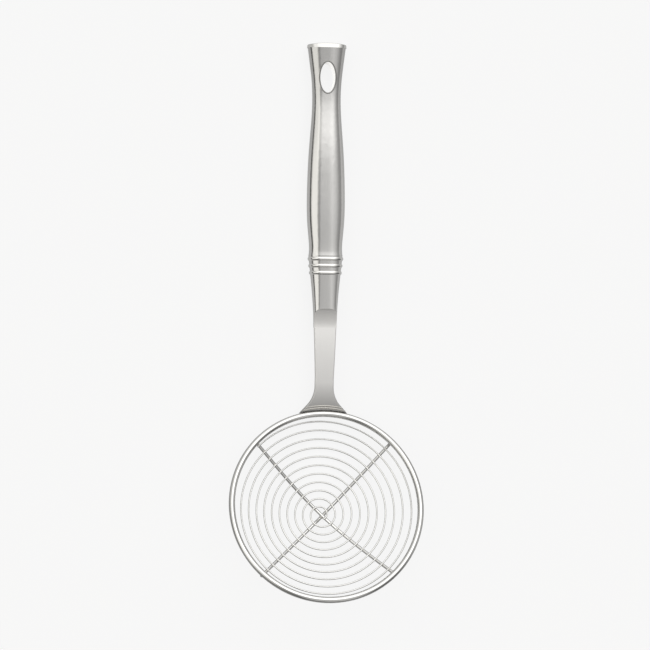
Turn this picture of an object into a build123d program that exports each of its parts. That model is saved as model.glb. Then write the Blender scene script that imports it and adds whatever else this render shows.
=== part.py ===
from build123d import *
import math
import os

# A spider skimmer, in millimetres and degrees. Every piece is drawn in the bowl's own frame: the
# origin is the lowest point of the dish, +Z is the bowl's axis and +Y points to the handle. At the
# end the whole object is turned to lie on a table, as it does by itself.

# Rim hoop
hoop_radius = 61.2
hoop_wire = 4.0
hoop_height = 25.2

# Dish, and the spiral wire that draws it
dish_radius = 58.3
dish_depth = 17.4
dish_roundness_share = 0.257
spiral_wire_size = 1.0
spiral_outer_radius = 58.8
spiral_inner_radius = 3.4
spiral_full_turns = 10
spiral_start_azimuth = -45.0
gap_points_per_turn = 12

# Cross wires
cross_wire_size = 2.0
cross_wire_azimuths = {"cross_wire_left": -45.0, "cross_wire_right": 45.0}
crossing_place = (1.1, -0.2)
crossing_half_length = 8.0
riser_run = 2.4
weld_sink = 0.04
dish_station_shares = (0.2, 0.4, 0.6, 0.8)

# Neck strap
strap_thickness = 2.6
strap_foot_angle = 27.0
strap_foot_straight = 2.0
strap_bend_length = 49.0
strap_narrow_width = 12.3
strap_wide_width = 14.6
strap_narrow_place = 20.0
foot_width = 32.0
foot_flare_radius = 15.5
foot_flare_angle = 45.0
foot_groove = 0.5
tang_width = 9.0
tang_thickness = 1.8

# Handle, set on the strap's straight upper part
handle_angle = 16.3
nose_distance = 54.0
wall = 1.2

# Nose ferrule
ferrule_length = 46.5
ferrule_width = 22.0
ferrule_depth = 12.9
ferrule_station_shares = (0.0, 0.26, 0.43, 0.73, 1.0)
ferrule_width_shares = (0.675, 0.705, 0.755, 0.882, 1.0)
ferrule_depth_shares = (0.667, 0.729, 0.79, 0.907, 1.0)
ferrule_squareness_shares = (3.6, 3.6, 3.3, 2.9, 2.7)
ferrule_hollow_start_share = 0.43
scoop_run = 12.2

# Bead rings
bead_size = 3.0
bead_section_angles = (-75.0, -50.0, -25.0, 0.0, 25.0, 50.0, 75.0)
bead_pitch = 4.5
bead_names = ("bead_ring_upper", "bead_ring_middle", "bead_ring_lower")
bead_first_setback = 2.1
bead_proud = 0.7

# Grip
grip_length = 134.2
grip_width = 24.6
grip_depth = 13.8
grip_station_shares = (0.0, 0.14, 0.28, 0.43, 0.6, 0.765, 0.88, 0.96, 1.0)
grip_width_shares = (0.894, 0.955, 1.0, 0.955, 0.83, 0.745, 0.83, 0.94, 1.0)
grip_depth_shares = (0.935, 0.975, 1.0, 0.98, 0.9, 0.81, 0.83, 0.88, 0.91)
grip_squareness_shares = (2.7, 2.6, 2.5, 2.5, 2.6, 2.8, 2.8, 2.7, 2.6)
spigot_length = 6.0
spigot_wall = 1.8

# End cap
cap_height = 3.2
cap_lip = 0.5
cap_face_slope = 1.6
cap_side_slope = 0.3
cap_crown_radius = 70.0
cap_edge_radius = 0.6
cap_spigot_length = 4.0

# Hanging hole
hole_length = 19.7
hole_width = 9.8
hole_from_end = 19.3
liner_wall = 0.9
liner_proud = 0.25
liner_lip_radius = 0.25

# Tang block
tang_block_length = 8.0
tang_setback = 2.0

cut_overrun = 5.0
outline_count = 28
straight_share = 1e-6
pitch_halvings = 24
dish_steps = 280


def dish_height(radius):
    """Height of the spiral's wire line above the bottom of the dish."""
    share = radius / dish_radius
    return dish_depth * ((1 + dish_roundness_share) * share**2 - dish_roundness_share * share**4)


def dish_slope(radius):
    """Rise of the dish over run, at a radius."""
    share = radius / dish_radius
    steepness = 2 * (1 + dish_roundness_share) * share - 4 * dish_roundness_share * share**3
    return steepness * dish_depth / dish_radius


def biarc(start, start_way, end, end_way):
    """Two arcs from one point to the next, which leave and arrive along the given directions."""
    across = end - start
    both = start_way + end_way
    spread = 2 * (1 - start_way.dot(end_way))
    straight = across.cross(start_way).length < across.length * straight_share
    if straight and spread < straight_share:
        return [Edge.make_line(start, end)]
    along = across.dot(both)
    if spread < straight_share:
        reach = across.dot(across) / (2 * along)
    else:
        reach = (math.sqrt(along**2 + spread * across.dot(across)) - along) / spread
    first = start + start_way * reach
    second = end - end_way * reach
    middle = (first + second) / 2
    way = (second - first).normalized()
    return [Edge.make_tangent_arc(start, start_way, middle), Edge.make_tangent_arc(middle, way, end)]


def bent_wire(stations, size):
    """One round wire through points with directions, bent on arcs."""
    edges = []
    for (start, start_way), (end, end_way) in zip(stations, stations[1:]):
        edges += biarc(start, start_way, end, end_way)
    profile = Plane(origin=stations[0][0], z_dir=stations[0][1]) * Circle(size / 2)
    return sweep(profile, path=Wire(edges))


# Hoop: a round wire bent to a circle
def make_hoop():
    return Pos(0, 0, hoop_height) * Torus(hoop_radius, hoop_wire / 2)


# Spiral: one wire, a quarter turn to each biarc, drawn in by a steady pitch
def spiral_station(turned, sweep_angle):
    pull_in = (spiral_outer_radius - spiral_inner_radius) / sweep_angle
    radius = spiral_outer_radius - pull_in * turned
    azimuth = math.radians(spiral_start_azimuth) + turned
    across, along = math.sin(azimuth), math.cos(azimuth)
    point = Vector(radius * across, radius * along, dish_height(radius))
    way = Vector(
        radius * along - pull_in * across,
        -radius * across - pull_in * along,
        -pull_in * dish_slope(radius),
    )
    return point, way.normalized()


def make_spiral():
    half_turns = 2 * spiral_full_turns + 1
    sweep_angle = half_turns * math.pi
    steps = 2 * half_turns
    stations = [spiral_station(sweep_angle * step / steps, sweep_angle) for step in range(steps + 1)]
    first, first_way = stations[0]
    last, last_way = stations[-1]
    stations.insert(0, (first - first_way * spiral_wire_size, first_way))
    stations.append((last + last_way * spiral_wire_size, last_way))
    return bent_wire(stations, spiral_wire_size)


def spiral_self_gap():
    """Least clear gap of the wire to its own turns, among points at least half a turn apart."""
    half_turns = 2 * spiral_full_turns + 1
    sweep_angle = half_turns * math.pi
    half = gap_points_per_turn // 2
    steps = half * half_turns
    points = [spiral_station(sweep_angle * step / steps, sweep_angle)[0] for step in range(steps + 1)]
    gaps = [(there - here).length for place, here in enumerate(points) for there in points[place + half :]]
    return min(gaps) - spiral_wire_size


# Cross wires: under the spiral, one of them dipping under the other, and both turned up to the hoop
def aside(azimuth):
    """How far a cross wire lies beside the bowl's axis, because the two cross a little off it."""
    sideways = Vector(math.cos(azimuth), -math.sin(azimuth), 0)
    return sideways * sideways.dot(Vector(*crossing_place, 0))


def under_dish(place, azimuth):
    """Wire line of a cross wire below the dish, at a signed distance from its own middle."""
    radius = abs(place)
    side = math.copysign(1, place)
    drop = (spiral_wire_size + cross_wire_size) / 2 - weld_sink
    angle = math.atan(dish_slope(radius))
    out = side * (radius + drop * math.sin(angle))
    height = dish_height(radius) - drop * math.cos(angle)
    outward = Vector(math.sin(azimuth), math.cos(azimuth), 0)
    point = outward * out + aside(azimuth) + Vector(0, 0, height)
    way = outward * math.cos(angle) + Vector(0, 0, side * math.sin(angle))
    return point, way


def cross_wire_reach():
    """How far out a cross wire lies under the dish: to its bend up to the hoop, or to the spiral's edge."""
    return max(spiral_outer_radius, hoop_radius - riser_run)


def riser(side, azimuth):
    """The bend and the short upright that carry a cross wire up to the middle of the hoop's wire."""
    outward = Vector(math.sin(azimuth), math.cos(azimuth), 0) * side
    foot, _ = under_dish(side * cross_wire_reach(), azimuth)
    angle = math.atan(dish_slope(cross_wire_reach()))
    run = hoop_radius - foot.dot(outward)
    corner_height = foot.Z + run * math.tan(angle)
    bend_top = corner_height + run / math.cos(angle)
    up = Vector(0, 0, side)
    column = outward * hoop_radius + aside(azimuth)
    return [(column + Vector(0, 0, bend_top), up), (column + Vector(0, 0, hoop_height), up)]


def make_cross_wire(azimuth, dips, hoop):
    azimuth = math.radians(azimuth)
    reaches = [share * cross_wire_reach() for share in dish_station_shares]
    reaches = [reach for reach in reaches if reach > crossing_half_length]
    reaches = [crossing_half_length] + reaches + [cross_wire_reach()]
    middle, level = under_dish(0, azimuth)
    if dips:
        middle -= Vector(0, 0, cross_wire_size - weld_sink)
    low_side = [under_dish(-reach, azimuth) for reach in reversed(reaches)]
    high_side = [under_dish(reach, azimuth) for reach in reaches]
    stations = riser(-1, azimuth)[::-1] + low_side + [(middle, level)] + high_side + riser(1, azimuth)
    return bent_wire(stations, cross_wire_size) - hoop


# Neck strap: a plan outline and a side outline, one cut by the other, and seated on the hoop
def strap_line():
    """Middle line of the strap seen from the side, as points in Y and Z with the end of its bend."""
    start = Vector(0, hoop_radius, hoop_height)
    foot_way = Vector(0, math.cos(math.radians(strap_foot_angle)), math.sin(math.radians(strap_foot_angle)))
    top_way = Vector(0, math.cos(math.radians(handle_angle)), math.sin(math.radians(handle_angle)))
    bend_start = start + foot_way * (hoop_wire / 2 + strap_foot_straight)
    turn = math.radians(strap_foot_angle - handle_angle)
    chord = 2 * strap_bend_length / turn * math.sin(turn / 2)
    chord_angle = math.radians((strap_foot_angle + handle_angle) / 2)
    bend_end = bend_start + Vector(0, math.cos(chord_angle), math.sin(chord_angle)) * chord
    return start, foot_way, bend_start, bend_end, top_way


def nose_point():
    """Middle of the strap where the ferrule's tip is."""
    _, _, _, bend_end, top_way = strap_line()
    return bend_end + top_way * (nose_distance - strap_foot_straight - strap_bend_length)


def handle_place():
    """Turns the handle's own frame, with +Y along it from the ferrule's tip, into the bowl's."""
    angle = math.radians(handle_angle)
    return Plane(origin=nose_point(), x_dir=(1, 0, 0), z_dir=(0, -math.sin(angle), math.cos(angle))).location


def make_tang():
    """The narrow end of the strap inside the handle, in the handle's frame."""
    length = ferrule_length - tang_setback
    return Pos(0, length / 2, 0) * Box(tang_width, length, tang_thickness)


def strap_side():
    """The strap's bent side outline, swept across the foot's whole width."""
    start, foot_way, bend_start, bend_end, top_way = strap_line()
    tip = nose_point()
    half = strap_thickness / 2
    foot_up = Vector(0, -foot_way.Z, foot_way.Y) * half
    top_up = Vector(0, -top_way.Z, top_way.Y) * half
    outline = [
        Edge.make_line(start + foot_up, bend_start + foot_up),
        Edge.make_tangent_arc(bend_start + foot_up, foot_way, bend_end + top_up),
        Edge.make_line(bend_end + top_up, tip + top_up),
        Edge.make_line(tip + top_up, tip - top_up),
        Edge.make_line(tip - top_up, bend_end - top_up),
        Edge.make_tangent_arc(bend_end - top_up, top_way * -1, bend_start - foot_up),
        Edge.make_line(bend_start - foot_up, start - foot_up),
        Edge.make_line(start - foot_up, start + foot_up),
    ]
    return extrude(Face(Wire(outline)), amount=foot_width, dir=(1, 0, 0), both=True)


def strap_plan():
    """The strap's outline from above: a foot as wide as its weld, a narrow waist, then wider again."""
    flare = math.radians(foot_flare_angle)
    narrow = strap_narrow_width / 2
    hoop_edge = hoop_radius + hoop_wire / 2
    corner_y = math.sqrt(hoop_edge**2 - (foot_width / 2) ** 2)
    shoulder_x = narrow + foot_flare_radius * (1 - math.cos(flare))
    shoulder_y = corner_y + (foot_width / 2 - shoulder_x) / math.tan(flare)
    waist_y = shoulder_y + foot_flare_radius * math.sin(flare)
    nose_y = nose_point().Y
    widening = (strap_wide_width / 2 - narrow) / (nose_y - hoop_edge - strap_narrow_place)
    tip_y = nose_y + cut_overrun
    outline = Polyline((0, hoop_radius / 2), (foot_width / 2, hoop_radius / 2), (foot_width / 2, corner_y))
    outline += Line((foot_width / 2, corner_y), (shoulder_x, shoulder_y))
    outline += TangentArc(
        (shoulder_x, shoulder_y), (narrow, waist_y), tangent=(-math.sin(flare), math.cos(flare))
    )
    outline += Polyline(
        (narrow, waist_y),
        (narrow, hoop_edge + strap_narrow_place),
        (strap_wide_width / 2 + widening * cut_overrun, tip_y),
        (0, tip_y),
        (0, hoop_radius / 2),
    )
    half_plan = extrude(make_face(outline), amount=2 * hoop_radius)
    return half_plan + mirror(half_plan, about=Plane.YZ)


def foot_groove_tool():
    """A ring round the hoop's wire, above the strap's middle, that leaves a groove over the weld."""
    angle = math.radians(strap_foot_angle)
    size = foot_width + cut_overrun
    upward = Vector(0, -math.sin(angle), math.cos(angle))
    middle = Plane(origin=(0, hoop_radius, hoop_height), x_dir=(1, 0, 0), z_dir=upward)
    above = middle.location * Pos(0, 0, size / 2) * Box(size, size, size)
    ring = Pos(0, 0, hoop_height) * Torus(hoop_radius, hoop_wire / 2 + foot_groove)
    return ring & above


def make_strap(hoop):
    bar = strap_side() & strap_plan()
    return bar + handle_place() * make_tang() - hoop - foot_groove_tool()


# Handle: oval sections across its own axis, which starts at the ferrule's tip
def across_handle(place):
    return Plane(origin=(0, place, 0), x_dir=(1, 0, 0), z_dir=(0, -1, 0))


def oval(width, depth, squareness):
    """A soft-cornered oval as one closed curve; 2 is an ellipse and more is squarer."""
    points = []
    for step in range(outline_count):
        angle = 2 * math.pi * step / outline_count
        across, up = math.cos(angle), math.sin(angle)
        x = math.copysign(abs(across) ** (2 / squareness), across) * width / 2
        y = math.copysign(abs(up) ** (2 / squareness), up) * depth / 2
        points.append((x, y))
    return make_face(Spline(*points, periodic=True))


def station_ovals(length, width, depth, shares, inset, start, first_share):
    """Sections along a handle piece, from rows of shares, drawn in by an inset."""
    sections = []
    for place_share, wide, deep, square in zip(*shares):
        if place_share >= first_share:
            section = oval(width * wide - 2 * inset, depth * deep - 2 * inset, square)
            sections.append(across_handle(start + length * place_share) * section)
    return sections


ferrule_shares = (
    ferrule_station_shares,
    ferrule_width_shares,
    ferrule_depth_shares,
    ferrule_squareness_shares,
)
grip_shares = (grip_station_shares, grip_width_shares, grip_depth_shares, grip_squareness_shares)


def ferrule_body(inset=0, first_share=0):
    return loft(
        station_ovals(ferrule_length, ferrule_width, ferrule_depth, ferrule_shares, inset, 0, first_share)
    )


def grip_body(inset=0):
    return loft(station_ovals(grip_length, grip_width, grip_depth, grip_shares, inset, ferrule_length, 0))


def slab_along(start, length):
    """A block across the whole handle, from one place along it to another."""
    size = 2 * (grip_width + cut_overrun)
    return Pos(0, start + length / 2, 0) * Box(size, length, size)


def side_tool(edges):
    """A cutting tool from an outline in Y and Z, wider than the handle."""
    return extrude(Face(Wire(edges)), amount=grip_width, dir=(1, 0, 0), both=True)


def nose_tool(run, side):
    """What lies beyond an arc from the strap's face at the tip out to the ferrule's surface.

    Side is 1 for the hollow scoop over the strap and -1 for the round of the nose under it.
    """
    floor = strap_thickness / 2
    rise = ferrule_depth * ferrule_depth_shares[1] / 2 - floor
    radius = (run**2 + rise**2) / (2 * rise)
    lean = math.asin(run / radius)
    top = grip_depth
    lip = Vector(0, run, side * (floor + rise))
    tip = Vector(0, 0, side * floor)
    past = Vector(0, run, side * top)
    if side > 0:
        past += Vector(0, (top - floor - rise) / math.tan(lean), 0)
        arc = Edge.make_tangent_arc(tip, (0, 1, 0), lip)
    else:
        arc = Edge.make_tangent_arc(lip, (0, -1, 0), tip)
    before = Vector(0, -cut_overrun, side * floor)
    before_top = Vector(0, -cut_overrun, side * top)
    rest = [(before, tip), (lip, past), (past, before_top), (before_top, before)]
    return side_tool([arc] + [Edge.make_line(start, end) for start, end in rest])


def ferrule_hollow():
    return ferrule_body(2 * wall, ferrule_hollow_start_share)


def make_ferrule(core):
    nose = ferrule_body() - nose_tool(scoop_run, 1) - nose_tool(scoop_run, -1)
    inset = 2 * (wall + spigot_wall)
    bore = across_handle(ferrule_length) * oval(
        ferrule_width - inset, ferrule_depth - inset, ferrule_squareness_shares[-1]
    )
    bore = extrude(bore, amount=spigot_length, dir=(0, 1, 0))
    spigot = (core & slab_along(ferrule_length, spigot_length)) - bore
    return nose - ferrule_hollow() + spigot - make_tang()


def make_tang_block():
    length = ferrule_length - tang_setback
    place = slab_along(length - tang_block_length, tang_block_length)
    return (ferrule_hollow() & place) - make_tang()


# Bead rings: round rings, half sunk in the ferrule's thick end
def ferrule_size_at(place, size, size_shares):
    share = place / ferrule_length
    stations = list(zip(ferrule_station_shares, size_shares))
    for (low, low_size), (high, high_size) in zip(stations, stations[1:]):
        if low <= share <= high:
            return size * (low_size + (high_size - low_size) * (share - low) / (high - low))


def make_bead(place, body):
    radius = bead_size / 2
    sections = []
    for angle in bead_section_angles:
        along = radius * math.sin(math.radians(angle))
        stand = bead_proud - radius * (1 - math.cos(math.radians(angle)))
        width = ferrule_size_at(place, ferrule_width, ferrule_width_shares) + 2 * stand
        depth = ferrule_size_at(place, ferrule_depth, ferrule_depth_shares) + 2 * stand
        outline = oval(width, depth, ferrule_squareness_shares[-1])
        sections.append(across_handle(place + along) * outline)
    return loft(sections) - body


# Grip: two pressed half shells, a lined hanging hole and a pressed cap
def hole_column(length, width):
    middle = ferrule_length + grip_length - hole_from_end
    return Pos(0, middle, 0) * extrude(Ellipse(width / 2, length / 2), amount=grip_depth, both=True)


def liner_column():
    return hole_column(hole_length + 2 * liner_wall, hole_width + 2 * liner_wall)


def make_grip_shell(outside, core, side):
    size = 2 * (ferrule_length + grip_length)
    half = Pos(0, 0, side * size / 2) * Box(size, 2 * size, size)
    return ((outside - core) & half) - liner_column()


def make_hole_liner():
    """A tube through both shells, whose rounded lips stand a little proud of them."""
    tube = (liner_column() & grip_body(-liner_proud)) - hole_column(hole_length, hole_width)
    lips = tube.edges().filter_by(GeomType.LINE, reverse=True)
    return fillet(lips, liner_lip_radius)


def make_end_cap(core, inner_core):
    """A cap with a lip at the seam, whose broad faces slope in to a flatly arched end."""
    seam = ferrule_length + grip_length
    width = grip_width * grip_width_shares[-1] + 2 * cap_lip
    depth = grip_depth * grip_depth_shares[-1] + 2 * cap_lip
    squareness = grip_squareness_shares[-1]
    base = across_handle(seam) * oval(width, depth, squareness)
    end = oval(width - 2 * cap_side_slope, depth - 2 * cap_face_slope, squareness)
    dome = loft([base, across_handle(seam + cap_height) * end])
    dome &= Pos(0, seam + cap_height - cap_crown_radius, 0) * Sphere(cap_crown_radius)
    dome = fillet(dome.edges().sort_by(Axis.Y)[-1], cap_edge_radius)
    skirt = (core & slab_along(seam - cap_spigot_length, cap_spigot_length)) - inner_core
    return dome + skirt


# Resting: the pitch at which the dish and the cap's lower edge touch the same table
def lowest_of_dish(pitch):
    radii = [spiral_outer_radius * step / dish_steps for step in range(dish_steps + 1)]
    heights = [dish_height(radius) * math.cos(pitch) - radius * math.sin(pitch) for radius in radii]
    return min(heights) - spiral_wire_size / 2


def height_of_cap(pitch):
    seam = ferrule_length + grip_length
    low = grip_depth * grip_depth_shares[-1] / 2 + cap_lip
    edge = handle_place() * Pos(0, seam, -low)
    return edge.position.Z * math.cos(pitch) - edge.position.Y * math.sin(pitch)


def rest_pitch():
    low, high = 0.0, math.radians(strap_foot_angle)
    for _ in range(pitch_halvings):
        middle = (low + high) / 2
        if height_of_cap(middle) > lowest_of_dish(middle):
            low = middle
        else:
            high = middle
    return math.degrees(low)


def make_pieces():
    hoop = make_hoop()
    outside = grip_body()
    core = grip_body(wall)
    inner_core = grip_body(2 * wall)
    pieces = {"rim_hoop": hoop, "spiral_wire": make_spiral(), "neck_strap": make_strap(hoop)}
    for name, azimuth in cross_wire_azimuths.items():
        pieces[name] = make_cross_wire(azimuth, name == "cross_wire_right", hoop)

    body = ferrule_body()
    handle = {
        "nose_ferrule": make_ferrule(core),
        "tang_block": make_tang_block(),
        "grip_front_shell": make_grip_shell(outside, core, 1),
        "grip_back_shell": make_grip_shell(outside, core, -1),
        "end_cap": make_end_cap(core, inner_core),
        "hole_liner": make_hole_liner(),
    }
    for number, name in enumerate(bead_names):
        handle[name] = make_bead(ferrule_length - bead_first_setback - number * bead_pitch, body)
    for name, piece in handle.items():
        pieces[name] = handle_place() * piece
    return pieces


pitch = rest_pitch()
lying = {name: Rot(-pitch, 0, 0) * piece for name, piece in make_pieces().items()}
box = Compound([solid for piece in lying.values() for solid in piece.solids()]).bounding_box()
shift = Pos(-box.center().X, -box.center().Y, -box.min.Z)
print(f"pitch at rest {pitch:.2f} degrees, size {box.size}")
print(f"origin of the bowl in the part's frame {(shift * Pos(0, 0, 0)).position}")
print(f"least gap of the spiral to itself {spiral_self_gap():.2f} mm")

os.makedirs("parts", exist_ok=True)
for name, piece in lying.items():
    solids = (shift * piece).solids()
    export_step(Compound(solids), f"parts/{name}.step")
    print(name, len(solids), round(sum(solid.volume for solid in solids), 1))
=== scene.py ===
# %% [markdown]
# # A spider skimmer in stainless steel
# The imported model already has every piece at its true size, lying on its table. This lesson gives
# those pieces the look of real steel: drawn wire, satin sheet and polished trim. A metal shows hardly
# any colour of its own, so most of the work is in what it reflects and in how fine its grain is.

# %% Load the frame
import math

import bmesh
import bpy
from mathutils import Matrix, Vector


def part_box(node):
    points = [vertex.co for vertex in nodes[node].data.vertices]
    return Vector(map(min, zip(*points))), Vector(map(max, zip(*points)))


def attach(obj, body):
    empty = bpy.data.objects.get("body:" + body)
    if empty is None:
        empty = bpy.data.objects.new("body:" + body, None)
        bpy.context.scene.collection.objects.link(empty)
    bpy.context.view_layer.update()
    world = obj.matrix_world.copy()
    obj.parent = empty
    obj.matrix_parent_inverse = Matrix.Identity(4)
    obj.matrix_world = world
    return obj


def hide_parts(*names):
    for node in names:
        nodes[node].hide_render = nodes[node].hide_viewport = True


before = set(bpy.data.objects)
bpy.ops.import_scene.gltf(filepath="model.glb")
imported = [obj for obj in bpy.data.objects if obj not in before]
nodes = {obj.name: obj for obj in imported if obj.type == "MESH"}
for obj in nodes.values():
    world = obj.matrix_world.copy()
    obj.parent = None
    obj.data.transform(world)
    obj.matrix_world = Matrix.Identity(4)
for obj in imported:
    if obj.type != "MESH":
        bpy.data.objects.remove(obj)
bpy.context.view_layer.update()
scene = bpy.context.scene
mm = 0.001
print("nodes:", sorted(nodes))

# %% [markdown]
# ## Camera
# The photograph is taken from almost straight above, from nearly two metres away with a long lens,
# and the camera leans a little to the left of the skimmer. We write those angles down as they were
# measured, turn them into three directions, and hand Blender the matrix. A long lens keeps the bowl
# from looking larger than the handle, so the distance matters as much as the direction.

# %% Camera
camera_distance = 1.782
camera_lens = 152.43
camera_roll = math.radians(9.05)
camera_pitch = math.radians(0.99)
camera_spin = math.radians(0.673)
camera_target = Vector((0.77 * mm, -3.24 * mm, 8.0 * mm))
film_width = 36
camera_reach = 20


def camera_directions():
    """Right, up and back directions of the camera."""
    back = Vector((
        -math.sin(camera_roll) * math.cos(camera_pitch),
        math.sin(camera_pitch),
        math.cos(camera_roll) * math.cos(camera_pitch),
    ))
    right = Vector((0, 1, 0)).cross(back).normalized()
    up = back.cross(right)
    turn = Matrix.Rotation(camera_spin, 3, back)
    return turn @ right, turn @ up, back


def make_camera():
    right, up, back = camera_directions()
    data = bpy.data.cameras.new("camera")
    data.lens = camera_lens
    data.sensor_width = film_width
    data.clip_end = camera_reach
    camera = bpy.data.objects.new("camera", data)
    scene.collection.objects.link(camera)
    place = camera_target + back * camera_distance
    camera.matrix_world = Matrix((
        (right.x, up.x, back.x, place.x),
        (right.y, up.y, back.y, place.y),
        (right.z, up.z, back.z, place.z),
        (0, 0, 0, 1),
    ))
    scene.camera = camera
    return camera


camera = make_camera()
print("camera at", [round(value, 3) for value in camera.location])

# %% [markdown]
# ## Colour
# The photograph's pale ground is an even near-white. The Standard view transform keeps the numbers
# that we choose, so that the ground comes out as pale as it is there and the steel keeps its contrast.

# %% View transform
scene.view_settings.view_transform = "Standard"
scene.view_settings.look = "None"
print("view transform:", scene.view_settings.view_transform)

# %% [markdown]
# ## Floor
# A plain pale sheet under the skimmer. The photograph is a cut-out with no shadow at all, so most of
# the floor's tone is its own glow, and only a small part takes the soft shade of the wires and the
# grip. Steel on a white sheet would mirror that sheet along every edge and vanish into it. A studio
# puts dark cards round the piece for that. Here the floor itself is dimmer in reflections, most of
# all round the bowl, whose wires would otherwise lose their dark edges.

# %% Floor
floor_size = 40.0
floor_glow = 0.835
floor_tone = 0.14
reflected_tone = 0.25
reflected_glow_at_bowl = 0.13
reflected_glow_at_handle = 0.32
bowl_end = (-70 * mm, -40 * mm)
# Painted light: the floor glows brighter in reflections over a patch under the hanging hole.
hole_place = (0, 156.4 * mm, 0)
hole_patch = (7 * mm, 13 * mm)
hole_patch_glow = 0.60
floor_drop = 0.05 * mm


def map_range(tree, value, source, target):
    """A value carried from one range to another, held at the ends."""
    node = tree.nodes.new("ShaderNodeMapRange")
    node.inputs["From Min"].default_value = source[0]
    node.inputs["From Max"].default_value = source[1]
    node.inputs["To Min"].default_value = target[0]
    node.inputs["To Max"].default_value = target[1]
    tree.links.new(value, node.inputs["Value"])
    return node.outputs[0]


def reflected_glow(tree):
    """The floor's own light in reflections, by the place on the floor."""
    where = tree.nodes.new("ShaderNodeTexCoord")
    parts = tree.nodes.new("ShaderNodeSeparateXYZ")
    tree.links.new(where.outputs["Object"], parts.inputs[0])
    glows = (reflected_glow_at_bowl, reflected_glow_at_handle)
    along = map_range(tree, parts.outputs["Y"], bowl_end, glows)
    distance = tree.nodes.new("ShaderNodeVectorMath")
    distance.operation = "DISTANCE"
    distance.inputs[1].default_value = hole_place
    tree.links.new(where.outputs["Object"], distance.inputs[0])
    patch = map_range(tree, distance.outputs["Value"], hole_patch, (hole_patch_glow, 0))
    both = tree.nodes.new("ShaderNodeMath")
    both.operation = "ADD"
    tree.links.new(along, both.inputs[0])
    tree.links.new(patch, both.inputs[1])
    return both.outputs[0]


def glow_and_shade(tree, glow, tone):
    """A surface that shines by itself and also takes a little light and shade."""
    shine = tree.nodes.new("ShaderNodeEmission")
    if isinstance(glow, float):
        shine.inputs["Strength"].default_value = glow
    else:
        tree.links.new(glow, shine.inputs["Strength"])
    shade = tree.nodes.new("ShaderNodeBsdfDiffuse")
    shade.inputs["Color"].default_value = (tone, tone, tone, 1)
    both = tree.nodes.new("ShaderNodeAddShader")
    tree.links.new(shine.outputs[0], both.inputs[0])
    tree.links.new(shade.outputs[0], both.inputs[1])
    return both.outputs[0]


def make_floor_material():
    material = bpy.data.materials.new("pale_floor")
    material.use_nodes = True
    tree = material.node_tree
    tree.nodes.clear()
    path = tree.nodes.new("ShaderNodeLightPath")
    either = tree.nodes.new("ShaderNodeMixShader")
    tree.links.new(path.outputs["Is Camera Ray"], either.inputs[0])
    tree.links.new(glow_and_shade(tree, reflected_glow(tree), reflected_tone), either.inputs[1])
    tree.links.new(glow_and_shade(tree, floor_glow, floor_tone), either.inputs[2])
    output = tree.nodes.new("ShaderNodeOutputMaterial")
    tree.links.new(either.outputs[0], output.inputs["Surface"])
    return material


def make_floor():
    mesh = bpy.data.meshes.new("floor")
    half = floor_size / 2
    corners = [(-half, -half, 0), (half, -half, 0), (half, half, 0), (-half, half, 0)]
    mesh.from_pydata(corners, [], [(0, 1, 2, 3)])
    mesh.materials.append(make_floor_material())
    floor = bpy.data.objects.new("floor", mesh)
    floor.location.z = -floor_drop
    scene.collection.objects.link(floor)
    return floor


floor = make_floor()
print("floor:", floor_size, "m square")

# %% [markdown]
# ## Studio light
# The whole studio is one dome with four soft cards on it. Each card is the product of two ramps: one
# over how far a ray leans to the right (X), and one over how far it leans towards the grip (Y). The
# long cream panel on the left gives the grip its bright stripe. The grey overhead panel gives the
# broad face and the softer right side, with a thin gap between the two. A white wall past the grip's
# end lights the bead rings, the cap and the satin strap, and a small card past the bowl is what the
# hollow of the scoop looks into.

# %% Dome
left_panel = {
    "colour": (1.0, 0.99, 0.95),
    "side": [
        (-1.00, 0.10), (-0.955, 0.12), (-0.90, 0.60), (-0.82, 0.98), (-0.70, 1.02), (-0.36, 1.00),
        (-0.31, 0.80), (-0.25, 0.34), (-0.20, 0.05), (-0.15, 0.00), (1.00, 0.00),
    ],
    "along": [
        (-1.00, 0.12), (-0.60, 0.20), (-0.35, 0.50), (-0.15, 0.95), (0.00, 1.00), (0.15, 1.00),
        (0.35, 0.65), (0.60, 0.45), (1.00, 0.40),
    ],
}
overhead_panel = {
    "colour": (1.0, 0.995, 0.985),
    "side": [
        (-1.00, 0.00), (-0.25, 0.00), (-0.21, 0.28), (-0.15, 0.32), (-0.09, 0.52), (0.17, 0.56),
        (0.30, 0.72), (0.40, 0.66), (0.55, 0.55), (0.70, 0.38), (0.78, 0.30), (0.90, 0.30),
        (0.95, 0.50), (1.00, 0.55),
    ],
    "along": [
        (-1.00, 0.10), (-0.75, 0.15), (-0.50, 0.25), (-0.35, 0.45), (-0.20, 0.85), (-0.08, 0.97),
        (0.00, 0.98), (0.05, 1.02), (0.12, 1.10), (0.20, 0.95), (0.35, 0.55), (0.50, 0.35), (1.00, 0.20),
    ],
}
grip_end_wall = {
    "colour": (1.0, 0.995, 0.98),
    "side": [
        (-1.00, 0.05), (-0.60, 0.05), (-0.40, 0.40), (-0.15, 0.90), (0.00, 1.00), (0.40, 1.00),
        (0.60, 0.40), (0.75, 0.15), (1.00, 0.10),
    ],
    "along": [
        (-1.00, 0.00), (0.12, 0.00), (0.20, 0.70), (0.32, 1.38), (0.60, 1.55), (0.80, 1.20), (1.00, 0.90),
    ],
}
bowl_end_card = {
    "colour": (1.0, 0.99, 0.97),
    "side": [(-1.00, 0.00), (-0.30, 0.00), (-0.05, 1.00), (0.40, 1.00), (0.65, 0.00), (1.00, 0.00)],
    "along": [
        (-1.00, 0.05), (-0.93, 0.12), (-0.80, 0.33), (-0.68, 0.42), (-0.55, 0.42), (-0.42, 0.38),
        (-0.30, 0.10), (-0.22, 0.00), (1.00, 0.00),
    ],
}


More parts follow.
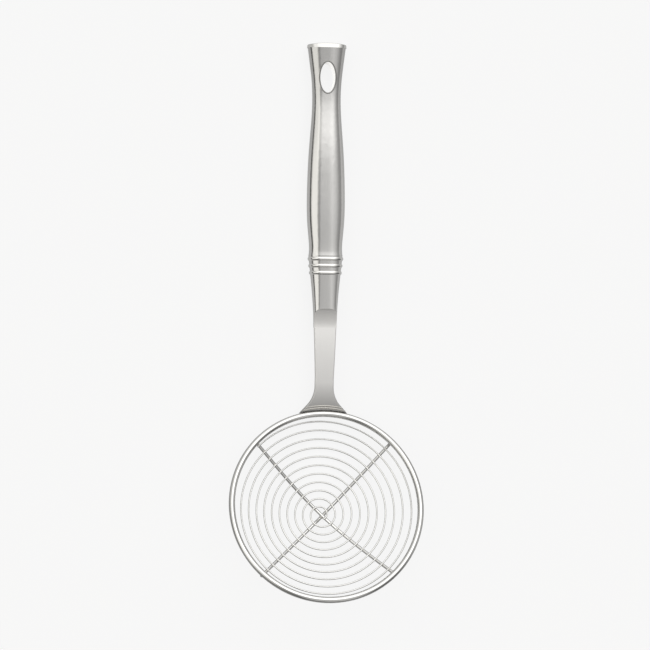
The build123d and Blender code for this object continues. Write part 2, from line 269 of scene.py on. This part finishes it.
def tone_ramp(tree, value, tones):
    """A ramp of brightness over a value from -1 to 1, as a colour output and its peak."""
    ramp = tree.nodes.new("ShaderNodeValToRGB")
    tree.links.new(map_range(tree, value, (-1, 1), (0, 1)), ramp.inputs[0])
    stops = ramp.color_ramp.elements
    stops.remove(stops[-1])
    peak = max(tone for _, tone in tones)
    for number, (place, tone) in enumerate(tones):
        position = (place + 1) / 2
        stop = stops[0] if number == 0 else stops.new(position)
        stop.position = position
        stop.color = (tone / peak, tone / peak, tone / peak, 1)
    return ramp.outputs[0], peak


def vector_math(tree, operation, first, second):
    node = tree.nodes.new("ShaderNodeVectorMath")
    node.operation = operation
    tree.links.new(first, node.inputs[0])
    if isinstance(second, tuple):
        node.inputs[1].default_value = second
    else:
        tree.links.new(second, node.inputs[1])
    return node.outputs[0]


def card_light(tree, parts, card):
    """The light of one card in every direction."""
    side, side_peak = tone_ramp(tree, parts.outputs["X"], card["side"])
    along, along_peak = tone_ramp(tree, parts.outputs["Y"], card["along"])
    peaks = tuple(channel * side_peak * along_peak for channel in card["colour"])
    return vector_math(tree, "MULTIPLY", vector_math(tree, "MULTIPLY", side, along), peaks)


def make_dome(cards):
    world = bpy.data.worlds.new("studio_dome")
    scene.world = world
    world.use_nodes = True
    tree = world.node_tree
    tree.nodes.clear()
    where = tree.nodes.new("ShaderNodeTexCoord")
    parts = tree.nodes.new("ShaderNodeSeparateXYZ")
    tree.links.new(where.outputs["Generated"], parts.inputs[0])
    light = card_light(tree, parts, cards[0])
    for card in cards[1:]:
        light = vector_math(tree, "ADD", light, card_light(tree, parts, card))
    glow = tree.nodes.new("ShaderNodeBackground")
    tree.links.new(light, glow.inputs["Color"])
    output = tree.nodes.new("ShaderNodeOutputWorld")
    tree.links.new(glow.outputs[0], output.inputs["Surface"])
    return world


cards = [left_panel, overhead_panel, grip_end_wall, bowl_end_card]
world = make_dome(cards)
print("cards on the dome:", len(cards))

# %% [markdown]
# ## The bowl's own frame
# The bowl is easiest to draw upright, with its lowest point at the origin, its axis along Z and the
# handle towards +Y. Lying on the table, the whole skimmer is pitched so that the grip's end touches
# down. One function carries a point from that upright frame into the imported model's frame. The
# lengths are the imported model's own.

# %% Bowl frame
bowl_pitch = math.radians(18.2407)
bowl_place = Vector((0, -126.702 * mm, 4.699 * mm))
hoop_radius = 61.2 * mm
hoop_wire = 4.0 * mm
hoop_height = 25.2 * mm


def from_bowl(point):
    """A point of the upright bowl's frame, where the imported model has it."""
    return Matrix.Rotation(-bowl_pitch, 3, "X") @ Vector(point) + bowl_place


hoop_centre = from_bowl((0, 0, hoop_height))


def add_piece(name, mesh_data, material):
    """Turns a bmesh into a piece of the skimmer, smooth where its faces are."""
    bmesh.ops.recalc_face_normals(mesh_data, faces=mesh_data.faces)
    mesh = bpy.data.meshes.new(name)
    mesh_data.to_mesh(mesh)
    mesh_data.free()
    mesh.materials.append(material)
    piece = bpy.data.objects.new(name, mesh)
    scene.collection.objects.link(piece)
    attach(piece, "root")
    return piece


def bridge(mesh_data, rows):
    """Faces between rows of points, where each row is a closed loop of as many points."""
    verts = [[mesh_data.verts.new(point) for point in row] for row in rows]
    for row, following in zip(verts, verts[1:]):
        for number in range(len(row)):
            after = (number + 1) % len(row)
            corners = (row[number], row[after], following[after], following[number])
            mesh_data.faces.new(corners).smooth = True
    return verts


print("hoop centre:", [round(value / mm, 2) for value in hoop_centre])

# %% [markdown]
# ## Steel finishes
# Each finish is one Principled shader, fully metallic, whose roughness and bump come from noise that
# is stretched along the way the piece was worked. Satin sheet has a grain that runs with the handle,
# drawn wire has faint die lines, and polished trim is nearly a mirror with a little haze. Four pieces
# don't have one finish all over. The strap's foot is darker with painted shade, the more so the nearer
# to the hoop. The scoop of the ferrule was ground out after polishing, so it is as matt as the strap
# that it runs into, while the ferrule's outside stays bright; the hollow is also painted a little
# brighter, as painted light. The liner of the hanging hole has painted shade on its lip, which draws
# the dark ring, and painted light on the bright wall inside. The grip is a little darker towards its
# end. Each of these is a mask or a tone made from the place or the direction of the surface.

# %% Finishes
# Painted shade on the strap's foot, darker towards the hoop.
foot_painted_shade_tone = 0.54
foot_painted_shade_reach = (63 * mm, 80 * mm)
scoop_run = (13.5 * mm, 9.0 * mm)
scoop_haze = 0.36
# Painted light: the scoop's hollow is made a little brighter.
scoop_painted_light_tone = 1.16
scoop_facing = (0.80, 0.93)
# Painted light on the liner's wall; the lip keeps the liner's dark colour as painted shade.
liner_wall_painted_light_tone = 2.7
liner_lip_facing = (0.10, 0.35)
grip_end_tone = 0.84
grip_end_reach = (80 * mm, 150 * mm)
grain_reach = (0.25, 0.75)
grain_detail = 3.0
grain_dark_share = 0.96


def math_node(tree, operation, first, second):
    node = tree.nodes.new("ShaderNodeMath")
    node.operation = operation
    tree.links.new(first, node.inputs[0])
    if isinstance(second, (int, float)):
        node.inputs[1].default_value = second
    else:
        tree.links.new(second, node.inputs[1])
    return node.outputs[0]


def object_place(tree):
    """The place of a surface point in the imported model's frame."""
    return tree.nodes.new("ShaderNodeTexCoord").outputs["Object"]


def part_of(tree, vector, axis):
    parts = tree.nodes.new("ShaderNodeSeparateXYZ")
    tree.links.new(vector, parts.inputs[0])
    return parts.outputs[axis]


def foot_painted_shade(tree):
    """Tone of the strap: painted shade, darker towards the hoop."""
    distance = tree.nodes.new("ShaderNodeVectorMath")
    distance.operation = "DISTANCE"
    distance.inputs[1].default_value = hoop_centre
    tree.links.new(object_place(tree), distance.inputs[0])
    return map_range(tree, distance.outputs["Value"], foot_painted_shade_reach, (foot_painted_shade_tone, 1))


def grip_end_darkening(tree):
    """Tone of the grip: a little darker towards its end."""
    return map_range(tree, part_of(tree, object_place(tree), "Y"), grip_end_reach, (1, grip_end_tone))


def scoop_mask(tree):
    """1 on the ground hollow of the ferrule, which faces up within a run from the ferrule's tip."""
    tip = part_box("nose_ferrule")[0].y
    place = part_of(tree, object_place(tree), "Y")
    near_tip = map_range(tree, place, (tip + scoop_run[0], tip + scoop_run[1]), (0, 1))
    surface = tree.nodes.new("ShaderNodeNewGeometry")
    faces_up = map_range(tree, part_of(tree, surface.outputs["True Normal"], "Z"), scoop_facing, (0, 1))
    return math_node(tree, "MULTIPLY", near_tip, faces_up)


def scoop_painted_light(tree):
    """Tone of the ferrule: painted light that makes the hollow a little brighter than the rest."""
    return map_range(tree, scoop_mask(tree), (0, 1), (1, scoop_painted_light_tone))


def liner_painted_light_and_shade(tree):
    """Tone of the hole's liner: painted shade on the lip, painted light on the wall inside."""
    surface = tree.nodes.new("ShaderNodeNewGeometry")
    height = part_of(tree, surface.outputs["True Normal"], "Z")
    return map_range(tree, height, liner_lip_facing, (liner_wall_painted_light_tone, 1))


def steel(name, colour, roughness, spread, grain, bump, bump_depth, tone=None, haze=None):
    """A steel whose roughness and fine bump follow a stretched grain, in waves per metre on each axis.

    Tone and haze are functions that give a node output: the first scales the colour by place, and
    the second is a mask that makes the surface as matt as the scoop.
    """
    material = bpy.data.materials.new(name)
    material.use_nodes = True
    tree = material.node_tree
    shader = tree.nodes["Principled BSDF"]
    shader.inputs["Metallic"].default_value = 1.0
    stretch = tree.nodes.new("ShaderNodeMapping")
    stretch.inputs["Scale"].default_value = grain
    tree.links.new(object_place(tree), stretch.inputs["Vector"])
    noise = tree.nodes.new("ShaderNodeTexNoise")
    noise.inputs["Scale"].default_value = 1.0
    noise.inputs["Detail"].default_value = grain_detail
    tree.links.new(stretch.outputs[0], noise.inputs["Vector"])

    rough = map_range(tree, noise.outputs["Fac"], grain_reach, (roughness - spread, roughness + spread))
    if haze:
        rough = math_node(tree, "ADD", rough, math_node(tree, "MULTIPLY", haze(tree), scoop_haze))
    tree.links.new(rough, shader.inputs["Roughness"])

    tint = tree.nodes.new("ShaderNodeMix")
    tint.data_type = "RGBA"
    tint.inputs["A"].default_value = [channel * grain_dark_share for channel in colour] + [1]
    tint.inputs["B"].default_value = list(colour) + [1]
    tree.links.new(noise.outputs["Fac"], tint.inputs["Factor"])
    shade = tint.outputs["Result"]
    if tone:
        shade = vector_math(tree, "MULTIPLY", shade, tone(tree))
    tree.links.new(shade, shader.inputs["Base Color"])

    lines = tree.nodes.new("ShaderNodeBump")
    lines.inputs["Strength"].default_value = bump
    lines.inputs["Distance"].default_value = bump_depth
    tree.links.new(noise.outputs["Fac"], lines.inputs["Height"])
    tree.links.new(lines.outputs[0], shader.inputs["Normal"])
    return material


grip_colour = (0.82, 0.81, 0.795)
strap_colour = (0.98, 0.97, 0.955)
# The liner's colour is dark for painted shade on its lip.
liner_painted_shade_colour = (0.34, 0.335, 0.325)
grip_grain = (2500, 120, 2500)
strap_grain = (1800, 300, 1800)
wire_grain = (900, 900, 900)
trim_grain = (700, 700, 700)
grip_steel = steel("brushed_grip_steel", grip_colour, 0.10, 0.03, grip_grain, 0.08, 0.02 * mm, grip_end_darkening)
nose_steel = steel(
    "brushed_nose_steel", grip_colour, 0.10, 0.03, grip_grain, 0.08, 0.02 * mm, scoop_painted_light, scoop_mask
)
strap_steel = steel("satin_strap_steel", strap_colour, 0.50, 0.04, strap_grain, 0.10, 0.02 * mm, foot_painted_shade)
hoop_steel = steel("polished_hoop_steel", (0.84, 0.835, 0.82), 0.14, 0.03, wire_grain, 0.05, 0.01 * mm)
wire_steel = steel("drawn_wire_steel", (0.87, 0.865, 0.85), 0.18, 0.03, wire_grain, 0.05, 0.01 * mm)
trim_steel = steel("polished_trim_steel", (0.90, 0.89, 0.87), 0.05, 0.02, trim_grain, 0.02, 0.01 * mm)
liner_steel = steel(
    "liner_steel_painted_light_and_shade", liner_painted_shade_colour, 0.15, 0.03, trim_grain, 0.02, 0.01 * mm, liner_painted_light_and_shade
)
weld_steel = steel("weld_steel", (0.62, 0.60, 0.56), 0.30, 0.06, (1500, 1500, 1500), 0.20, 0.02 * mm)
plain_steel = steel("plain_steel", (0.62, 0.61, 0.60), 0.40, 0.05, (600, 600, 600), 0.10, 0.02 * mm)
print("finishes:", len(bpy.data.materials) - 1)

# %% [markdown]
# ## Neck strap
# On the real skimmer the strap is one strip of sheet, sheared out with a flared foot, bent, tumbled
# until its edges are round, and welded to the hoop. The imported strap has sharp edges, so this piece
# stands for it: a row of rounded sections is carried along the same bent line, and each line of
# points starts where it meets the hoop. Over the weld the upper half stops nearly a millimetre short,
# which draws the dark line that separates foot and hoop. Round edges matter more than their size
# suggests, because each catches a thin light line that a sharp edge can't show. The strap runs a
# little way into the ferrule, so that its end face, which would spoil the shading of the last row of
# faces, is out of sight.

# %% Neck strap
strap_thickness = 2.6 * mm
strap_edge = 0.7 * mm
strap_end_edge = 0.4 * mm
strap_foot_angle = math.radians(27.0)
strap_top_angle = math.radians(16.3)
strap_foot_run = 4.0 * mm
strap_bend_length = 49.0 * mm
strap_end = 56.0 * mm
strap_inside = (0.2 * mm, 0.6 * mm)
strap_narrow_half = 6.15 * mm
strap_wide_half = 7.3 * mm
strap_narrow_until = 83.2 * mm
foot_half = 16.0 * mm
foot_flare_radius = 15.5 * mm
foot_flare_angle = math.radians(45)
foot_groove = 0.9 * mm
groove_blend = 0.6 * mm
tang_half_width = 4.5 * mm
tang_half_thickness = 0.9 * mm
tang_length = 44.5 * mm
strap_rows = 72
strap_row_crowding = 1.3
strap_across = 28
corner_steps = 6
meeting_rounds = 6
meeting_halvings = 30


def strap_line(run):
    """The strap's middle line at a run from the hoop's wire line: Y, Z and angle, upright frame."""
    y = hoop_radius + min(run, strap_foot_run) * math.cos(strap_foot_angle)
    z = hoop_height + min(run, strap_foot_run) * math.sin(strap_foot_angle)
    if run <= strap_foot_run:
        return y, z, strap_foot_angle
    bent = min(run - strap_foot_run, strap_bend_length)
    turn = strap_foot_angle - strap_top_angle
    angle = strap_foot_angle - turn * bent / strap_bend_length
    radius = strap_bend_length / turn
    y += radius * (math.sin(strap_foot_angle) - math.sin(angle))
    z += radius * (math.cos(angle) - math.cos(strap_foot_angle))
    rest = run - strap_foot_run - bent
    return y + rest * math.cos(angle), z + rest * math.sin(angle), angle


def strap_point(run, across, up):
    """A point of the strap in the upright frame, across and above its middle line."""
    y, z, angle = strap_line(run)
    return Vector((across, y - up * math.sin(angle), z + up * math.cos(angle)))


def strap_half_width(y):
    """Half the strap's width at a place: a straight flare, an arc into the waist, then wider again."""
    foot_y = math.sqrt((hoop_radius + hoop_wire / 2) ** 2 - foot_half**2)
    shoulder = strap_narrow_half + foot_flare_radius * (1 - math.cos(foot_flare_angle))
    shoulder_y = foot_y + (foot_half - shoulder) / math.tan(foot_flare_angle)
    waist_y = shoulder_y + foot_flare_radius * math.sin(foot_flare_angle)
    if y < foot_y:
        return foot_half
    if y < shoulder_y:
        return foot_half - (y - foot_y) * math.tan(foot_flare_angle)
    if y < waist_y:
        rise = waist_y - y
        return strap_narrow_half + foot_flare_radius - math.sqrt(foot_flare_radius**2 - rise**2)
    nose_y = strap_line(strap_end)[0]
    share = max(0, (y - strap_narrow_until) / (nose_y - strap_narrow_until))
    return strap_narrow_half + (strap_wide_half - strap_narrow_half) * share


def run_to_hoop(across, up, gap):
    """The run at which a line of the strap comes to the hoop's wire, less a gap."""
    low, high = 0, 3 * hoop_wire
    for _ in range(meeting_halvings):
        middle = (low + high) / 2
        point = strap_point(middle, across, up)
        out = math.hypot(point.x, point.y) - hoop_radius
        if math.hypot(out, point.z - hoop_height) > hoop_wire / 2 + gap or out > hoop_wire:
            high = middle
        else:
            low = middle
    return high


def rounded_section():
    """A rounded rectangle round the strap, as shares across and heights, from the upper left on."""
    half = strap_thickness / 2
    top = [(2 * number / strap_across - 1, half) for number in range(strap_across + 1)]
    corners = [math.pi / 2 * step / corner_steps for step in range(1, corner_steps)]
    right = [(1 + math.sin(angle), half - strap_edge * (1 - math.cos(angle))) for angle in corners]
    right_low = [(share, -up) for share, up in reversed(right)]
    bottom = [(share, -half) for share, _ in reversed(top)]
    left_low = [(-share, up) for share, up in reversed(right_low)]
    left = [(-share, up) for share, up in reversed(right)]
    return top + right + right_low + bottom + left_low + left


def section_point(share, half_width, edge):
    """Across place of a section point: shares past 1 are on the rounded edge."""
    flat = half_width - edge
    past = max(0, abs(share) - 1)
    return math.copysign(min(abs(share), 1) * flat + past * edge, share)


def strap_row(step_run, shrink):
    """One loop of points at a run past the hoop, whose upper half may be lowered at the end's edge."""
    row = []
    for share, up in rounded_section():
        run = step_run
        for _ in range(meeting_rounds):
            y = strap_line(run)[0]
            across = section_point(share, strap_half_width(y), strap_edge)
            upper = min(1, max(0, 0.5 + up / groove_blend))
            start = run_to_hoop(across, up, foot_groove * upper)
            run = start + (strap_end - start) * step_run / strap_end
        lowered = up - shrink * max(0, up) / (strap_thickness / 2)
        row.append(from_bowl(strap_point(run, across, lowered)))
    return row


def tang_row(run):
    """One loop of the hidden tang, which is the strap's section made narrower and thinner."""
    row = []
    for share, up in rounded_section():
        across = section_point(share, tang_half_width, tang_half_thickness / 2)
        height = up * tang_half_thickness / (strap_thickness / 2)
        row.append(from_bowl(strap_point(run, across, height)))
    return row


def close_ends(mesh_data, verts):
    """Flat faces over the first and the last loop, from top to bottom."""
    count = strap_across + 1
    side = 2 * (corner_steps - 1)
    for loop in (verts[0], verts[-1]):
        top = loop[:count]
        bottom = loop[count + side:2 * count + side][::-1]
        for number in range(strap_across):
            mesh_data.faces.new((top[number], top[number + 1], bottom[number + 1], bottom[number]))
        mesh_data.faces.new([top[-1]] + loop[count:count + side] + [bottom[-1]])
        mesh_data.faces.new([bottom[0]] + loop[2 * count + side:] + [top[0]])


def make_strap():
    mesh_data = bmesh.new()
    rows = []
    for step in range(corner_steps):
        angle = math.pi / 2 * step / corner_steps
        run = strap_end_edge * (1 - math.cos(angle))
        rows.append(strap_row(run, strap_end_edge * (1 - math.sin(angle))))
    for step in range(strap_rows + 1):
        share = (step / strap_rows) ** strap_row_crowding
        rows.append(strap_row(strap_end_edge + (strap_end - strap_end_edge) * share, 0))
    for past in strap_inside:
        rows.append(strap_row(strap_end + past, 0))
    close_ends(mesh_data, bridge(mesh_data, rows))
    tang = [tang_row(strap_end), tang_row(strap_end + tang_length)]
    close_ends(mesh_data, bridge(mesh_data, tang))
    return add_piece("neck_strap_rounded", mesh_data, strap_steel)


strap = make_strap()
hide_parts("neck_strap")
print("strap faces:", len(strap.data.polygons))

# %% [markdown]
# ## Foot weld
# The foot is welded to the hoop in two passes along its edge, and each pass leaves a low round ridge
# that follows the hoop. A ridge is swept as a small closed section along the strap's own surface,
# and it thins out at both corners of the foot as a weld does where the torch lifts off.

# %% Foot weld
ridge_places = (0.1 * mm, 1.3 * mm)
ridge_half_length = (14.2 * mm, 12.8 * mm)
ridge_half_width = 0.55 * mm
ridge_height = 0.26 * mm
ridge_end_share = 0.02
ridge_steps = 60
ridge_sides = 12


def ridge_row(place, half_length, across):
    """One closed section of a ridge, over the strap's top at a place from the hoop's outside."""
    circle = hoop_radius + hoop_wire / 2 + foot_groove + place
    lean = strap_thickness / 2 * math.sin(strap_foot_angle)
    run = (math.sqrt(circle**2 - across**2) + lean - hoop_radius) / math.cos(strap_foot_angle)
    size = math.sqrt(max(ridge_end_share, 1 - (across / half_length) ** 2))
    row = []
    for side in range(ridge_sides):
        angle = 2 * math.pi * side / ridge_sides
        along = run + ridge_half_width * size * math.cos(angle)
        up = strap_thickness / 2 + ridge_height * size * math.sin(angle)
        row.append(from_bowl(strap_point(along, across, up)))
    return row


def make_foot_weld():
    mesh_data = bmesh.new()
    for place, half_length in zip(ridge_places, ridge_half_length):
        rows = []
        for step in range(ridge_steps + 1):
            across = -half_length * math.cos(math.pi * step / ridge_steps)
            rows.append(ridge_row(place, half_length, across))
        verts = bridge(mesh_data, rows)
        mesh_data.faces.new(verts[0])
        mesh_data.faces.new(verts[-1])
    return add_piece("foot_weld", mesh_data, weld_steel)


foot_weld = make_foot_weld()
print("foot weld faces:", len(foot_weld.data.polygons))

# %% [markdown]
# ## Welds in the bowl
# The spiral is laid on the cross wires and resistance-welded at every crossing: two electrodes press
# the hot wires into each other, and a little metal is squeezed out round the joint. Each weld here is
# one low nugget that hugs the joint between the two wires, a ball pulled wide along the wires and
# flat through them, with a slightly uneven rim so that no two look stamped. A larger one joins the
# two cross wires where they cross.

# %% Weld nuggets
dish_radius = 58.3 * mm
dish_depth = 17.4 * mm
dish_roundness = 0.257
spiral_outer = 58.8 * mm
spiral_inner = 3.4 * mm
spiral_turns = 10.5
spiral_start = math.radians(-45)
spiral_wire_size = 1.0 * mm
cross_wire_size = 2.0 * mm
crossing_place = Vector((1.1 * mm, -0.2 * mm, 0))
arm_azimuths = [math.radians(angle) for angle in (-45, 45, 135, 225)]
nugget_sizes = (0.85 * mm, 0.95 * mm, 0.34 * mm)
crossing_nugget_sizes = (1.5 * mm, 1.5 * mm, 0.5 * mm)
nugget_unevenness = 0.12
nugget_waves = 3
nugget_turn = 1.7
middle_radius = 0.01 * mm
crossing_rounds = 4


def dish_height(radius):
    """Height of the dish at a distance from its middle, upright frame."""
    share = radius / dish_radius
    return dish_depth * ((1 + dish_roundness) * share**2 - dish_roundness * share**4)


def dish_normal(point):
    """Upward normal of the dish over a point, upright frame."""
    radius = max(math.hypot(point.x, point.y), middle_radius)
    share = radius / dish_radius
    steepness = 2 * (1 + dish_roundness) * share - 4 * dish_roundness * share**3
    slope = steepness * dish_depth / dish_radius
    return Vector((-slope * point.x / radius, -slope * point.y / radius, 1)).normalized()


def spiral_point(turned):
    """A point of the spiral's middle line after it has turned by an angle."""
    radius = spiral_outer - (spiral_outer - spiral_inner) * turned / (2 * math.pi * spiral_turns)
    azimuth = spiral_start + turned
    return Vector((radius * math.sin(azimuth), radius * math.cos(azimuth), dish_height(radius)))


def crossings():
    """Where the spiral passes over each arm of the cross wires, with the arm's direction."""
    found = []
    for azimuth in arm_azimuths:
        arm = Vector((math.sin(azimuth), math.cos(azimuth), 0))
        beside = Vector((math.cos(azimuth), -math.sin(azimuth), 0))
        offset = crossing_place.dot(beside)
        for turn in range(int(spiral_turns) + 1):
            turned = (azimuth - spiral_start) % (2 * math.pi) + 2 * math.pi * turn
            for _ in range(crossing_rounds):
                point = spiral_point(turned)
                turned -= (point.dot(beside) - offset) / math.hypot(point.x, point.y)
            if 0 <= turned <= 2 * math.pi * spiral_turns:
                found.append((spiral_point(turned), arm))
    return found


def add_nugget(mesh_data, middle, along, normal, sizes, number):
    """One uneven flattened ball of weld metal, set square to the dish."""
    across = normal.cross(along).normalized()
    along = across.cross(normal)
    ball = bmesh.ops.create_icosphere(mesh_data, subdivisions=3, radius=1)
    for face in {face for vert in ball["verts"] for face in vert.link_faces}:
        face.smooth = True
    for vert in ball["verts"]:
        way = vert.co.copy()
        around = math.atan2(way.y, way.x)
        wave = math.sin(nugget_waves * around + nugget_turn * number)
        uneven = 1 + nugget_unevenness * wave * (1 - way.z**2)
        place = along * way.x * sizes[0] * uneven + across * way.y * sizes[1] * uneven
        vert.co = from_bowl(middle + place + normal * way.z * sizes[2])


def make_nuggets():
    mesh_data = bmesh.new()
    joints = crossings()
    for number, (point, arm) in enumerate(joints):
        normal = dish_normal(point)
        middle = point - normal * spiral_wire_size / 2
        add_nugget(mesh_data, middle, arm, normal, nugget_sizes, number)
    ahead, up = Vector((0, 1, 0)), Vector((0, 0, 1))
    middle = crossing_place - up * (spiral_wire_size / 2 + cross_wire_size)
    add_nugget(mesh_data, middle, ahead, up, crossing_nugget_sizes, len(joints))
    print("weld nuggets:", len(joints) + 1)
    return add_piece("weld_nuggets", mesh_data, weld_steel)


nuggets = make_nuggets()

# %% [markdown]
# ## Dressing the pieces
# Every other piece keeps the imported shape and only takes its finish.

# %% Dress the nodes
finish_of = {
    "rim_hoop": hoop_steel,
    "spiral_wire": wire_steel,
    "cross_wire_left": wire_steel,
    "cross_wire_right": wire_steel,
    "neck_strap": strap_steel,
    "nose_ferrule": nose_steel,
    "tang_block": plain_steel,
    "grip_front_shell": grip_steel,
    "grip_back_shell": grip_steel,
    "end_cap": trim_steel,
    "hole_liner": liner_steel,
    "bead_ring_upper": trim_steel,
    "bead_ring_middle": trim_steel,
    "bead_ring_lower": trim_steel,
}
for name, material in finish_of.items():
    node = nodes[name]
    for slot in node.material_slots:
        slot.material = material
print("dressed", len(finish_of), "nodes")
